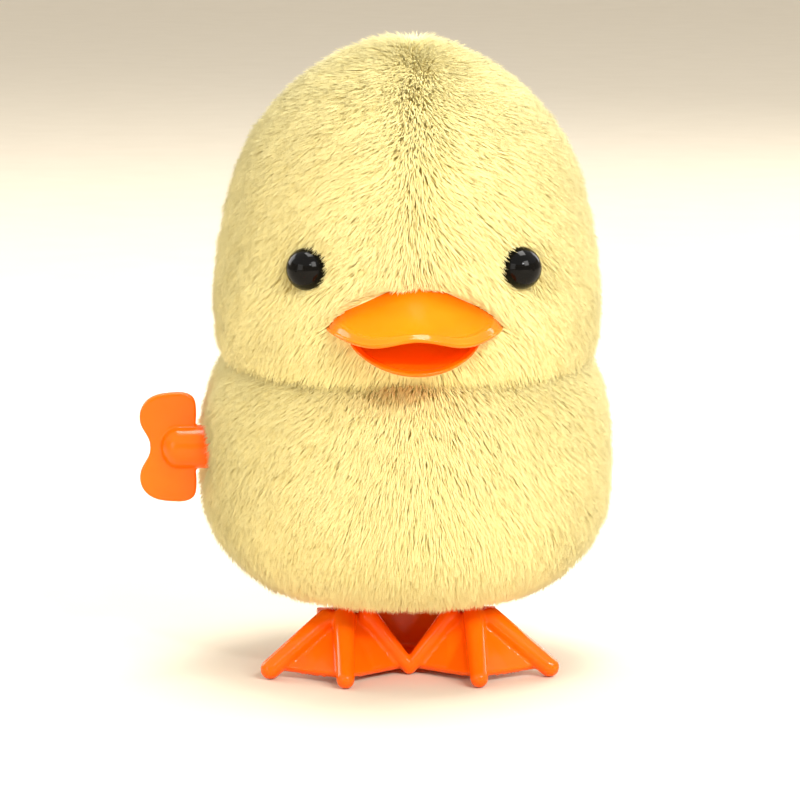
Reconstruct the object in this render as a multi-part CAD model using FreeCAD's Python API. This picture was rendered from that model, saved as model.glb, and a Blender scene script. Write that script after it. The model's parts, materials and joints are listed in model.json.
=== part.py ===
import FreeCAD, Part
import math
import os

# Wind-up hopping chick: a plush-covered two-piece shell, a clockwork motor in a
# moulded gearbox, and one webbed foot moulding on two levers that the motor rocks.
# Units are millimetres. +Z is up, the chick faces -Y, its winding key is on -X.
# The origin is on the ground, under the middle of the heel, on the plane of symmetry.

V = FreeCAD.Vector
os.makedirs("parts", exist_ok=True)

# ------------------------------------------------------------------ driving sizes
PLUSH_T = 2.6            # plush: 0.6 backing and 2.0 of standing pile
SHELL_OUT = 2.7          # shell's outer face, below the tips of the pile
SHELL_IN = 3.9           # shell's inner face: a 1.2 wall
BOTTOM_Z = 9.5           # lower rim of the plush body
BOTTOM_R = 14.9          # opening in the plush for the base plate
SIDE_SEAM_Y = -2.0       # side seams of the body, in line with the key

MODULE = 0.5             # gear module
PRESS = math.radians(25) # pressure angle
ADD, DED = 0.8, 1.1      # stub teeth
BACKLASH = 0.05
N_GREAT, N_PIN, N_SECOND, N_CRANK = 34, 10, 28, 24

AX_A = (-2.0, 31.0)      # winding arbor, as (y, z)
ANG_AB = math.radians(-42)
ANG_BC = math.radians(197)
ANG_CD = math.radians(168)
ANG_DE = math.radians(60)
AX_H = (11.6, 16.6)      # foot hinge
CRANK_E = 1.5            # crank throw
CRANK_PIN_R = 0.75
FOOT_SWING = 11.9        # degrees, twice asin(throw / distance from hinge to crank)

CASE_HALF = 7.2          # gearbox half width
CASE_WALL = 1.1
ARBOR_R, CRANK_R, HINGE_R, PIN_R, SMALL_R = 1.5, 1.0, 1.0, 0.75, 0.6
RUN = 0.05               # running clearance on radius
SPRING_X = (-5.8, -2.2)
LEVER_X = (9.0, 10.4)
DISC_X = (7.5, 8.7)
KEY_HUB_R = 3.0
KEY_X = (-37.0, -27.0)   # key's outer and inner end


def along(p, angle, dist):
    return (p[0] + dist * math.cos(angle), p[1] + dist * math.sin(angle))


AX_B = along(AX_A, ANG_AB, MODULE * (N_GREAT + N_PIN) / 2)
AX_C = along(AX_B, ANG_BC, MODULE * (N_SECOND + N_PIN) / 2)
AX_D = along(AX_C, ANG_CD, MODULE * (N_CRANK + N_PIN) / 2)
AX_E = along(AX_D, ANG_DE, 5.5)

POSTS = [(8.5, 39.2), (-12.0, 37.4), (-11.6, 16.4)]            # gearbox screws
BASE_SCREWS = [(-4.0, 6.0), (4.0, 6.0), (-4.0, -7.5), (4.0, -7.5)]  # (x, y)
SHELL_SCREWS = [(-20.0, 27.0), (21.5, 27.0), (10.0, 61.0), (-10.0, 72.0)]  # (y, z)


# ------------------------------------------------------------------ helpers
def save(shape, name):
    s = shape.removeSplitter() if shape.ShapeType != "Compound" else shape
    bad = [x for x in s.Solids if not x.isValid()]
    print(name, "solids", len(s.Solids), "vol", round(sum(x.Volume for x in s.Solids), 2), "BAD" if bad or not s.Solids else "")
    out = s.Solids[0] if len(s.Solids) == 1 else Part.makeCompound(s.Solids)
    out.exportStep("parts/%s.step" % name)


def cyl_x(p, r, x0, x1):
    return Part.makeCylinder(r, x1 - x0, V(x0, p[0], p[1]), V(1, 0, 0))


def cyl_z(x, y, r, z0, z1):
    return Part.makeCylinder(r, z1 - z0, V(x, y, z0), V(0, 0, 1))


def box(x0, x1, y0, y1, z0, z1):
    return Part.makeBox(x1 - x0, y1 - y0, z1 - z0, V(x0, y0, z0))


def prism_x(points, x0, x1):
    """A closed polygon of (y, z) points, extruded along X."""
    w = Part.makePolygon([V(x0, y, z) for y, z in points] + [V(x0, points[0][0], points[0][1])])
    return Part.Face(w).extrude(V(x1 - x0, 0, 0))


def fuse(*shapes):
    out = shapes[0]
    for s in shapes[1:]:
        out = out.fuse(s)
    return out


def cut(a, *shapes):
    for s in shapes:
        a = a.cut(s)
    return a


def hull_circles(circles, steps=24):
    """Convex outline round some (y, z, r) circles."""
    pts = []
    for y, z, r in circles:
        for i in range(steps):
            t = 2 * math.pi * i / steps
            pts.append((round(y + r * math.cos(t), 6), round(z + r * math.sin(t), 6)))
    pts = sorted(set(pts))

    def half(seq):
        h = []
        for p in seq:
            while len(h) > 1 and (h[-1][0] - h[-2][0]) * (p[1] - h[-2][1]) - (h[-1][1] - h[-2][1]) * (p[0] - h[-2][0]) <= 1e-9:
                h.pop()
            h.append(p)
        return h
    lower, upper = half(pts), half(pts[::-1])
    return lower[:-1] + upper[:-1]


# ------------------------------------------------------------------ outer form
# Each row: height, radius at the tips of the pile.
BODY = [
    (9.5, 16.0), (10.5, 18.2), (12.2, 20.9), (14.4, 23.4), (17.0, 25.7), (20.2, 27.4), (23.6, 28.3), (27.0, 28.6),
    (30.4, 28.6), (33.8, 28.35), (37.2, 27.8), (40.4, 26.9), (43.2, 25.5), (45.6, 23.2), (47.6, 19.8), (49.2, 15.2),
    (50.2, 9.6), (50.6, 4.0), (50.65, 0.0),
]
HEAD = [
    (35.9, 0.0), (36.0, 4.0), (36.6, 10.2), (37.8, 15.8), (39.4, 20.0), (41.4, 23.2), (43.6, 25.2), (46.2, 26.2),
    (49.6, 26.6), (53.6, 26.6), (58.0, 26.1), (62.2, 25.35), (66.2, 24.4), (70.0, 23.2), (73.6, 21.6), (77.0, 19.4),
    (80.2, 16.6), (83.0, 13.2), (85.4, 9.3), (87.1, 5.2), (87.8, 2.2), (87.9, 0.0),
]
HEAD_CY, BODY_CY = -1.5, 1.0
FLOOR = 9.5


def smooth_curve(pts, n=8):
    """Catmull-Rom points through a list of (z, r), returned as (r, z)."""
    out = []
    for i in range(len(pts) - 1):
        p0 = pts[max(i - 1, 0)]
        p1, p2 = pts[i], pts[i + 1]
        p3 = pts[min(i + 2, len(pts) - 1)]
        for k in range(n):
            t = k / n
            q = [0.5 * (2 * p1[j] + (p2[j] - p0[j]) * t + (2 * p0[j] - 5 * p1[j] + 4 * p2[j] - p3[j]) * t * t
                        + (3 * p1[j] - p0[j] - 3 * p2[j] + p3[j]) * t * t * t) for j in (0, 1)]
            out.append((q[1], q[0]))
    out.append((pts[-1][1], pts[-1][0]))
    return out


def profile(rows, d, count=16):
    """(r, z) points of the profile d inside the tips, bottom to top, evenly spaced along it."""
    c = smooth_curve(rows)
    if d:
        moved = []
        for i, p in enumerate(c):
            q0, q1 = c[max(i - 1, 0)], c[min(i + 1, len(c) - 1)]
            tr, tz = q1[0] - q0[0], q1[1] - q0[1]
            L = math.hypot(tr, tz)
            moved.append((p[0] - d * tz / L, p[1] + d * tr / L))
        c = moved
    lo = FLOOR + d if rows is BODY else -1e9
    kept = []
    for p, q in zip(c, c[1:]):
        if p[0] >= 0 and p[1] >= lo:
            kept.append(p)
        elif q[1] >= lo > p[1] and q[0] > 0:
            t = (lo - p[1]) / (q[1] - p[1])
            kept.append((p[0] + t * (q[0] - p[0]), lo))
        elif q[0] >= 0 > p[0]:
            t = -p[0] / (q[0] - p[0])
            kept.append((0.0, p[1] + t * (q[1] - p[1])))
        if p[0] > 0 > q[0]:
            t = p[0] / (p[0] - q[0])
            kept.append((0.0, p[1] + t * (q[1] - p[1])))
    if c[-1][0] >= 0:
        kept.append((0.0, c[-1][1]))
    acc = [0.0]
    for p, q in zip(kept, kept[1:]):
        acc.append(acc[-1] + math.hypot(q[0] - p[0], q[1] - p[1]))
    out = []
    for i in range(count):
        s_ = acc[-1] * i / (count - 1)
        k = max(j for j in range(len(acc)) if acc[j] <= s_ + 1e-9)
        k = min(k, len(kept) - 2)
        t = (s_ - acc[k]) / max(acc[k + 1] - acc[k], 1e-9)
        out.append((max(kept[k][0] + t * (kept[k + 1][0] - kept[k][0]), 0.0), kept[k][1] + t * (kept[k + 1][1] - kept[k][1])))
    return out


def radius_at(rows, z, d=0.0):
    pts = profile(rows, d, 120)
    best = 0.0
    for p, q in zip(pts, pts[1:]):
        if min(p[1], q[1]) <= z <= max(p[1], q[1]) and p[1] != q[1]:
            t = (z - p[1]) / (q[1] - p[1])
            best = max(best, p[0] + t * (q[0] - p[0]))
    return best


def form(rows, cy, d):
    """A closed solid of revolution, d inside the tips of the pile."""
    pts = profile(rows, d)
    bs = Part.BSplineCurve()
    v = [V(r, 0, z) for r, z in pts]
    flat_bottom = rows is BODY
    if flat_bottom:
        t0 = v[1] - v[0]
        bs.interpolate(v, InitialTangent=t0, FinalTangent=V(-1, 0, 0))
    else:
        bs.interpolate(v, InitialTangent=V(1, 0, 0), FinalTangent=V(-1, 0, 0))
    edges = [bs.toShape(), Part.makeLine(v[-1], V(0, 0, v[0].z))]
    if flat_bottom:
        edges.append(Part.makeLine(V(0, 0, v[0].z), v[0]))
    s = Part.Face(Part.Wire(edges)).revolve(V(0, 0, 0), V(0, 0, 1), 360)
    s = Part.Solid(s.Shells[0]) if s.ShapeType != "Solid" else s
    s.translate(V(0, cy, 0))
    return s


H0, B0 = form(HEAD, HEAD_CY, 0), form(BODY, BODY_CY, 0)
HP, BP = form(HEAD, HEAD_CY, PLUSH_T), form(BODY, BODY_CY, PLUSH_T)
ENV_P = HP.fuse(BP)
ENV_S1 = form(HEAD, HEAD_CY, SHELL_OUT).fuse(form(BODY, BODY_CY, SHELL_OUT))
ENV_S2 = form(HEAD, HEAD_CY, SHELL_IN).fuse(form(BODY, BODY_CY, SHELL_IN))


def half_space(normal, point, size=160.0):
    """A big block on the side of the plane that the normal points to."""
    n = V(*normal).normalize()
    b = Part.makeBox(size, size, size, V(-size / 2, -size / 2, 0))
    b.Placement = FreeCAD.Placement(V(*point), FreeCAD.Rotation(V(0, 0, 1), n))
    return b


# ------------------------------------------------------------------ eyes and beak
EYE_X, EYE_Z, EYE_R, EYE_SINK = 14.8, 57.9, 2.9, 1.1
eye_r = radius_at(HEAD, EYE_Z)
EYE_Y = HEAD_CY - math.sqrt(eye_r ** 2 - EYE_X ** 2)
EYES, EYE_HOLES, WASHERS = {}, [], []
for side, name in ((1, "eye_left"), (-1, "eye_right")):
    out = V(side * EYE_X, EYE_Y - HEAD_CY, 1.2).normalize()
    c = V(side * EYE_X, EYE_Y, EYE_Z) - out * EYE_SINK
    # The dome and its stem are made standing up, then turned to look outwards.
    turn = FreeCAD.Placement(c, FreeCAD.Rotation(V(0, 0, 1), out))
    dome = Part.makeSphere(EYE_R).cut(Part.makeBox(10, 10, 10, V(-5, -5, -11.4)))
    eye = dome.fuse(Part.makeCylinder(0.9, 6.9, V(0, 0, -7.8)))
    eye.Placement = turn
    EYES[name] = eye
    EYE_HOLES.append(Part.makeSphere(EYE_R + 0.12, c).fuse(Part.makeCylinder(1.0, 12, c - out * 9, out)))
    # The star washer grips the stem behind the shell's wall.
    w = Part.makeCylinder(2.6, 0.5, c - out * 6.0, out)
    WASHERS.append(w.cut(Part.makeCylinder(0.91, 2.0, c - out * 7.0, out)))
for n, s in EYES.items():
    save(s, n)
save(Part.makeCompound(WASHERS), "eye_washers")


def ellipsoid(cx, cy, cz, rx, ry, rz):
    m = FreeCAD.Matrix()
    m.scale(rx, ry, rz)
    e = Part.makeSphere(1.0).transformGeometry(m)
    e.translate(V(cx, cy, cz))
    return e


BEAK_ROOT, BEAK_TIP, BEAK_HALF, BEAK_RISE = -22.6, -36.6, 11.8, 5.7


def lip(u, t):
    """Height of the upper bill's lip: up at the corners, dipping on each side of the middle."""
    return 49.5 + (1 - t) * (0.9 * u ** 4 - 2.6 * u * u * (1 - u * u) * 1.45)


def bill(extra):
    """Upper bill, lofted from front-facing sections."""
    wires = []
    for t in (0.0, 0.22, 0.44, 0.62, 0.77, 0.88, 0.955, 0.99):
        y = BEAK_ROOT + t * (BEAK_TIP - BEAK_ROOT) - extra * t
        w = BEAK_HALF * math.sqrt(1 - t * t) + extra
        h = 1.0 + BEAK_RISE * (1 - t * t) ** 0.8 + extra
        top = [(u, lip(u, t) + (h - 0.7) * (1 - u * u) ** 1.35 + 0.7 * math.sqrt(1 - u * u)) for u in [math.cos(math.pi * k / 12) for k in range(0, 13)]]
        bot = [(u, lip(u, t) - 0.45 * math.sqrt(1 - u * u) - extra) for u in [math.cos(math.pi * k / 10) for k in range(9, 0, -1)]]
        pts = [V(u * w, y, z) for u, z in top + bot]
        bs = Part.BSplineCurve()
        bs.interpolate(pts, PeriodicFlag=True)
        wires.append(Part.Wire(bs.toShape()))
    return Part.makeLoft(wires, True, False)


def rim_block(shift):
    """Everything above the lower bill's rim, which drops towards the front."""
    return half_space((0, -0.39, 1), (0, -25.0, 48.45 + shift))


upper = bill(0.0)
lower = ellipsoid(0, -24.4, 48.6, 9.1, 9.6, 4.6).cut(rim_block(0)).cut(box(-20, 20, BEAK_ROOT, 0, 30, 70))
dish = ellipsoid(0, -29.2, 0, 7.2, 5.4, 1.5)
dish.rotate(V(0, -29.2, 0), V(1, 0, 0), 21.3)
dish.translate(V(0, 0, 48.45 - 0.39 * 4.2 + 0.2))
lower = lower.cut(dish).cut(bill(0.1))
pegs_u = [Part.makeCylinder(1.2, 6.4, V(x, -24.2, 52.0), V(0, 1, 0)) for x in (-6.0, 6.0)]
peg_l = Part.makeCylinder(1.2, 6.4, V(0, -24.2, 46.0), V(0, 1, 0))
upper = fuse(upper, *pegs_u)
lower_root = box(-3.2, 3.2, -24.4, -22.7, 44.6, 47.4)
lower = fuse(lower, lower_root, peg_l)
save(upper, "beak_upper")
save(lower, "beak_lower")
PEG_HOLES = [Part.makeCylinder(1.3, 14, V(x, -30, z), V(0, 1, 0)) for x, z in ((-6, 52.0), (6, 52.0), (0, 46.0))]
push = []
for x, z in ((-6, 52.0), (6, 52.0), (0, 46.0)):
    w = Part.makeCylinder(2.5, 0.5, V(x, -19.0, z), V(0, 1, 0))
    push.append(w.cut(Part.makeCylinder(1.21, 3, V(x, -20, z), V(0, 1, 0))))
save(Part.makeCompound(push), "beak_push_nuts")
BEAK_ROOM = fuse(bill(0.12), ellipsoid(0, -24.4, 48.6, 9.25, 9.75, 4.75).cut(box(-20, 20, -60, 0, 49.6, 70)), box(-3.3, 3.3, -30, -22.6, 44.4, 47.6), box(-11.6, 11.6, -30, -22.5, 48.6, 50.3))

# ------------------------------------------------------------------ plush cover
KEY_HOLE_PLUSH = cyl_x(AX_A, KEY_HUB_R + 0.35, -40, -20)
body_skin = B0.cut(ENV_P).cut(cyl_z(0, 0.2, BOTTOM_R, 5, 13.2)).cut(KEY_HOLE_PLUSH)
head_skin = cut(H0.cut(ENV_P).cut(B0), BEAK_ROOM, *EYE_HOLES)
body_skin = body_skin.cut(BEAK_ROOM)
LEFT = box(0, 90, -90, 90, -10, 120)
save(head_skin.common(LEFT), "plush_head_left")
save(head_skin.cut(LEFT), "plush_head_right")
FRONT = box(-90, 90, -90, SIDE_SEAM_Y, -10, 120)
save(body_skin.common(FRONT), "plush_body_front")
save(body_skin.cut(FRONT), "plush_body_back")

# ------------------------------------------------------------------ moulded shell
shell = ENV_S1.cut(ENV_S2).cut(cyl_z(0, 0.2, 16.0, 5, 15.5))
shell = cut(shell, cyl_x(AX_A, 2.4, -40, -15), *EYE_HOLES)
shell = cut(shell, *PEG_HOLES)
shell = cut(shell, BEAK_ROOM)
inside = ENV_S2
halves = {}
for name, side in (("shell_left", 1), ("shell_right", -1)):
    keep = LEFT if side > 0 else LEFT.mirror(V(0, 0, 0), V(1, 0, 0))
    s = shell.common(keep)
    for p in SHELL_SCREWS:
        boss = cyl_x(p, 2.7, 0, 30) if side > 0 else cyl_x(p, 2.7, -30, 0)
        s = s.fuse(boss.common(ENV_S1))
    for p in POSTS[:2]:
        rib = cyl_x(p, 1.9, CASE_HALF + 0.08, 30) if side > 0 else cyl_x(p, 1.9, -30, -CASE_HALF - 0.08)
        s = s.fuse(rib.common(ENV_S1))
    for p in SHELL_SCREWS:
        if side > 0:
            s = s.cut(cyl_x(p, 0.92, -0.1, 8.2))
        else:
            s = s.cut(cyl_x(p, 1.2, -30, 0.1)).cut(cyl_x(p, 2.0, -40, -4.0))
    save(s, name)
screws = []
for p in SHELL_SCREWS:
    head = cyl_x(p, 1.8, -5.3, -4.0).cut(prism_x([(p[0] - 0.25, p[1] - 1.2), (p[0] + 0.25, p[1] - 1.2), (p[0] + 0.25, p[1] + 1.2), (p[0] - 0.25, p[1] + 1.2)], -5.4, -4.8))
    head = head.cut(prism_x([(p[0] - 1.2, p[1] - 0.25), (p[0] + 1.2, p[1] - 0.25), (p[0] + 1.2, p[1] + 0.25), (p[0] - 1.2, p[1] + 0.25)], -5.4, -4.8))
    screws.append(head.fuse(cyl_x(p, 0.9, -4.0, 7.6)))
save(Part.makeCompound(screws), "shell_screws")

# ------------------------------------------------------------------ gearbox case
OUTLINE = [(-16.0, 20.5), (-15.0, 17.4), (-12.8, 14.6), (-8.6, 12.8), (8.4, 12.8), (12.6, 13.9), (14.6, 16.6), (15.2, 20.0),
           (15.2, 31.5), (11.6, 40.4), (8.6, 42.4), (-10.0, 42.4), (-14.2, 39.6), (-16.0, 35.0)]


def inset(points, d):
    """A convex polygon moved inwards by d."""
    n = len(points)
    lines = []
    for i in range(n):
        (y0, z0), (y1, z1) = points[i], points[(i + 1) % n]
        L = math.hypot(y1 - y0, z1 - z0)
        ny, nz = -(z1 - z0) / L, (y1 - y0) / L
        lines.append((y0 + d * ny, z0 + d * nz, y1 - y0, z1 - z0))
    out = []
    for i in range(n):
        y0, z0, a, b = lines[i - 1]
        y1, z1, c, e = lines[i]
        t = ((y1 - y0) * e - (z1 - z0) * c) / (a * e - b * c)
        out.append((y0 + a * t, z0 + b * t))
    return out


INNER = inset(OUTLINE, CASE_WALL)
case_outer = prism_x(OUTLINE, -CASE_HALF, CASE_HALF)
case_room = prism_x(INNER, -CASE_HALF + CASE_WALL, CASE_HALF - CASE_WALL)
case = case_outer.cut(case_room)
for p in POSTS:
    case = case.fuse(cyl_x(p, 1.8, -CASE_HALF, CASE_HALF).common(case_outer))
case = case.fuse(cyl_x(AX_H, 2.2, -CASE_HALF, -5.0)).fuse(cyl_x(AX_H, 2.2, 5.0, CASE_HALF))
inner_half = CASE_HALF - CASE_WALL
for p, r in ((AX_B, 1.6), (AX_D, 1.5)):
    case = case.fuse(cyl_x(p, r, inner_half - 0.5 if p != AX_B else 3.0, CASE_HALF)).fuse(cyl_x(p, r, -CASE_HALF, -inner_half + 0.1))
case = case.fuse(cyl_x(AX_E, 1.5, inner_half - 0.6, CASE_HALF))
case = case.fuse(cyl_x(AX_A, 2.6, 1.0, CASE_HALF))
for x, y in BASE_SCREWS:
    case = case.fuse(cyl_z(x, y, 1.6, 12.8, 15.4))
case = cut(case,
           cyl_x(AX_A, ARBOR_R + RUN, -20, 20), cyl_x(AX_C, CRANK_R + RUN, -20, 20),
           cyl_x(AX_H, HINGE_R + 0.01, -20, 20), cyl_x(AX_B, PIN_R + 0.01, -20, 20),
           cyl_x(AX_D, SMALL_R + 0.01, -20, 20), cyl_x(AX_E, SMALL_R + 0.01, 3.0, 20))
for x, y in BASE_SCREWS:
    case = case.cut(cyl_z(x, y, 0.82, 12.0, 15.1))
right_room = box(-40, 0, -60, 60, 0, 80)
case_r = case.common(right_room)     # chick's right, the key side
case_l = case.cut(right_room)
for p in POSTS:
    case_l = case_l.cut(cyl_x(p, 0.82, -0.1, 5.2))
    case_r = case_r.cut(cyl_x(p, 1.0, -10, 0.1)).cut(cyl_x(p, 1.45, -10, -5.9))
hook_at = (AX_A[0] - 8.87, AX_A[1])
case_r = case_r.fuse(cyl_x(hook_at, 0.7, -inner_half - 0.1, SPRING_X[1]))
save(case_r, "gearbox_case_right")
save(case_l, "gearbox_case_left")
gs = [cyl_x(p, 1.35, -7.15, -5.95).cut(box(-7.3, -6.8, p[0] - 0.2, p[0] + 0.2, p[1] - 1.1, p[1] + 1.1)).fuse(cyl_x(p, 0.8, -5.95, 4.9)) for p in POSTS]
save(Part.makeCompound(gs), "gearbox_screws")

# ------------------------------------------------------------------ gears


def gear(center, teeth, phase, x0, x1, hole=None):
    rp = MODULE * teeth / 2
    rb, ra, rf = rp * math.cos(PRESS), rp + ADD * MODULE, rp - DED * MODULE
    inv = lambda t: math.tan(t) - t
    half = (math.pi * MODULE / 2 - BACKLASH) / (2 * rp) + inv(PRESS)
    radii = [max(rb, rf + 0.02) + (ra - max(rb, rf + 0.02)) * k / 4 for k in range(5)]
    side = [(rf, half - inv(math.acos(min(rb / radii[0], 1.0))))] + [(r, half - inv(math.acos(min(rb / r, 1.0)))) for r in radii]
    pts = []
    for t in range(teeth):
        c = phase + 2 * math.pi * t / teeth
        for r, w in side:
            pts.append((center[0] + r * math.cos(c - w), center[1] + r * math.sin(c - w)))
        for r, w in reversed(side):
            pts.append((center[0] + r * math.cos(c + w), center[1] + r * math.sin(c + w)))
    g = prism_x(pts, x0, x1)
    return g.cut(cyl_x(center, hole, x0 - 1, x1 + 1)) if hole else g


def mate_phase(phase1, n1, n2, beta):
    return beta + math.pi + math.pi / n2 - (phase1 - beta) * n1 / n2


ph_a = ANG_AB
ph_b_pin = mate_phase(ph_a, N_GREAT, N_PIN, ANG_AB)
ph_b = 0.3
ph_c_pin = mate_phase(ph_b, N_SECOND, N_PIN, ANG_BC)
ph_c = 0.2
ph_d_pin = mate_phase(ph_c, N_CRANK, N_PIN, ANG_CD)

# Great wheel, with a pocket of ratchet teeth on its left face and five spokes' worth of windows.
great = gear(AX_A, N_GREAT, ph_a, -1.8, -0.2, ARBOR_R + RUN)
R_TEETH = 12
pocket = []
for i in range(R_TEETH):
    t0 = 2 * math.pi * i / R_TEETH
    pocket.append((AX_A[0] + 4.6 * math.cos(t0), AX_A[1] + 4.6 * math.sin(t0)))
    pocket.append((AX_A[0] + 5.5 * math.cos(t0 + 0.02), AX_A[1] + 5.5 * math.sin(t0 + 0.02)))
great = great.cut(prism_x(pocket, -1.0, 0.5))
save(great, "great_wheel")

# Ratchet click: a hub with two sprung arms whose tips sit in the ratchet teeth.
click = cyl_x(AX_A, 2.5, -0.95, -0.15)
for k in (0, 6):
    t0 = 2 * math.pi * k / R_TEETH
    tip = t0 + 0.12
    pts = []
    for j in range(9):
        u = j / 8
        t = tip + 1.9 * (1 - u)
        r = 2.2 + (5.15 - 2.2) * u ** 0.75
        pts.append((t, r))
    outer = [(AX_A[0] + r * math.cos(t), AX_A[1] + r * math.sin(t)) for t, r in pts]
    inner = [(AX_A[0] + (r - 0.75 + 0.2 * i / 8) * math.cos(t), AX_A[1] + (r - 0.75 + 0.2 * i / 8) * math.sin(t)) for i, (t, r) in enumerate(pts)]
    click = click.fuse(prism_x(outer + inner[::-1], -0.95, -0.25))
limit = cyl_x(AX_A, 4.45, -2, 1)
tips = []
click = click.cut(cyl_x(AX_A, ARBOR_R + 0.01, -2, 1))
# trim anything that would reach past the ratchet's own tooth form
room = prism_x([(AX_A[0] + (math.hypot(y - AX_A[0], z - AX_A[1]) - 0.12) * math.cos(math.atan2(z - AX_A[1], y - AX_A[0])),
                 AX_A[1] + (math.hypot(y - AX_A[0], z - AX_A[1]) - 0.12) * math.sin(math.atan2(z - AX_A[1], y - AX_A[0]))) for y, z in pocket], -2, 1)
click = click.common(room)
save(click, "ratchet_click")

arbor = cyl_x(AX_A, ARBOR_R, -33.0, 7.0)
arbor = arbor.fuse(cyl_x(AX_A, 2.3, -6.0, -5.85)).fuse(cyl_x(AX_A, 1.9, -2.15, -1.85))
save(arbor, "winding_arbor")

# Winding key: a round hub with a domed end and a flat butterfly wing through it.
ky, kz = AX_A
hub = cyl_x(AX_A, KEY_HUB_R, -31.7, KEY_X[1]).fuse(ellipsoid(-31.7, ky, kz, 2.5, KEY_HUB_R, KEY_HUB_R))
half_wing = [(-29.3, 3.0), (-29.2, 5.6), (-29.55, 6.85), (-30.7, 7.5), (-32.6, 7.55), (-34.4, 7.3), (-35.8, 6.65), (-36.65, 5.65), (-37.0, 4.4), (-36.8, 3.1), (-36.2, 2.0), (-35.7, 1.0), (-35.55, 0.0)]
pts = half_wing + [(x, -z) for x, z in half_wing[::-1][1:]]
bs = Part.BSplineCurve()
bs.interpolate([V(x, ky - 0.85, kz + z) for x, z in [(-29.6, 0.0)] + [(x, z) for x, z in half_wing] + [(x, -z) for x, z in half_wing[::-1][1:]]], PeriodicFlag=True)
wing = Part.Face(Part.Wire(bs.toShape())).extrude(V(0, 1.7, 0))
key = hub.fuse(wing)
bore = cyl_x(AX_A, ARBOR_R + 0.01, -33.1, KEY_X[1] + 1)
key = key.cut(bore)
save(key, "winding_key")


def spiral(center, r0, r1, turns, t, x0, x1):
    """A flat spiral ribbon made of half-circles, as a wound clock spring."""
    n = int(turns * 2)
    step = (r1 - r0) / n
    y = center[0]
    faces = []
    out_edges, in_edges = [], []
    # half-circle k has radius r0 + step*(k + 0.5) and its centre shifts by half a step to stay tangent
    cy = center[0]
    r = r0
    ypos = center[0] + r0
    for k in range(n):
        sgn = 1 if k % 2 == 0 else -1
        c = ypos - sgn * r
        a0 = V(x0, c + sgn * r, center[1])
        mid = V(x0, c, center[1] + sgn * r)
        a1 = V(x0, c - sgn * r, center[1])
        out_edges.append((c, r, sgn))
        ypos = c - sgn * r
        r += step
    wires_o, wires_i = [], []
    for c, r, sgn in out_edges:
        for lst, d in ((wires_o, t / 2), (wires_i, -t / 2)):
            rr = r + d
            lst.append(Part.Arc(V(x0, c + sgn * rr, center[1]), V(x0, c, center[1] + sgn * rr), V(x0, c - sgn * rr, center[1])).toShape())
    def end(lst, first):
        c, r, sgn = out_edges[0 if first else -1]
        s = sgn if first else -sgn
        return V(x0, c + s * (r + t / 2), center[1]), V(x0, c + s * (r - t / 2), center[1])
    so, si = end(out_edges, True)
    eo, ei = end(out_edges, False)
    w = Part.Wire(wires_o + [Part.makeLine(eo, ei)] + wires_i[::-1] + [Part.makeLine(si, so)])
    return Part.Face(w).extrude(V(x1 - x0, 0, 0)), ei, eo


coil, e_in, e_out = spiral(AX_A, 1.86, 8.35, 7.5, 0.32, SPRING_X[0] + 0.1, SPRING_X[1] - 0.1)
eye_c = (e_out.y - (0.0 if abs(e_out.y - hook_at[0]) < 0.01 else 0.0), e_out.z)
loop = cyl_x(hook_at, 1.12, SPRING_X[0] + 0.1, SPRING_X[1] - 0.1).cut(cyl_x(hook_at, 0.78, SPRING_X[0] - 1, SPRING_X[1] + 1))
print("spring end", e_in, e_out, "hook", hook_at)
spring = coil.fuse(loop)
save(spring, "mainspring")

second = fuse(gear(AX_B, N_PIN, ph_b_pin, -2.0, 0.05), cyl_x(AX_B, 1.9, 0.0, 0.32), gear(AX_B, N_SECOND, ph_b, 0.3, 1.7))
for k in range(5):
    t = 2 * math.pi * k / 5
    second = second.cut(cyl_x(along(AX_B, t, 4.5), 1.15, 0.1, 2))
second = second.cut(cyl_x(AX_B, PIN_R + RUN, -5, 5))
save(second, "second_wheel")
save(cyl_x(AX_B, PIN_R, -7.1, 7.1), "second_wheel_pin")

crank_gear = fuse(gear(AX_C, N_PIN, ph_c_pin, 0.1, 1.95), cyl_x(AX_C, 1.9, 1.9, 2.35), gear(AX_C, N_CRANK, ph_c, 2.3, 3.5))
crank_gear = crank_gear.cut(cyl_x(AX_C, CRANK_R + 0.01, -5, 5))
save(crank_gear, "crank_gear")
save(cyl_x(AX_C, CRANK_R, -8.6, 8.6), "crank_shaft")
hc = math.atan2(AX_C[1] - AX_H[1], AX_C[0] - AX_H[0])
up = hc - math.pi / 2
crank_at = along(AX_C, up, CRANK_E)
for name, side in (("crank_disc_left", 1), ("crank_disc_right", -1)):
    x0, x1 = (DISC_X[0], DISC_X[1]) if side > 0 else (-DISC_X[1], -DISC_X[0])
    p0, p1 = (x1 - 0.1, 10.9) if side > 0 else (-10.9, x0 + 0.1)
    d = cyl_x(AX_C, 3.2, x0, x1).cut(cyl_x(AX_C, CRANK_R + 0.01, -20, 8.6) if side > 0 else cyl_x(AX_C, CRANK_R + 0.01, -8.6, 20))
    save(d.fuse(cyl_x(crank_at, CRANK_PIN_R, p0, p1)), name)

star = []
for i in range(12):
    t = 2 * math.pi * i / 12
    star.append((AX_D[0] + 2.3 * math.cos(t), AX_D[1] + 2.3 * math.sin(t)))
    star.append((AX_D[0] + 3.4 * math.cos(t + 0.36), AX_D[1] + 3.4 * math.sin(t + 0.36)))
escape = fuse(gear(AX_D, N_PIN, ph_d_pin, 2.1, 3.75), cyl_x(AX_D, 1.8, 3.7, 4.12), prism_x(star, 4.1, 5.3))
escape = escape.cut(cyl_x(AX_D, SMALL_R + RUN, -5, 9))
save(escape, "escape_wheel")
save(cyl_x(AX_D, SMALL_R, -7.1, 7.1), "escape_wheel_pin")

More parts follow.
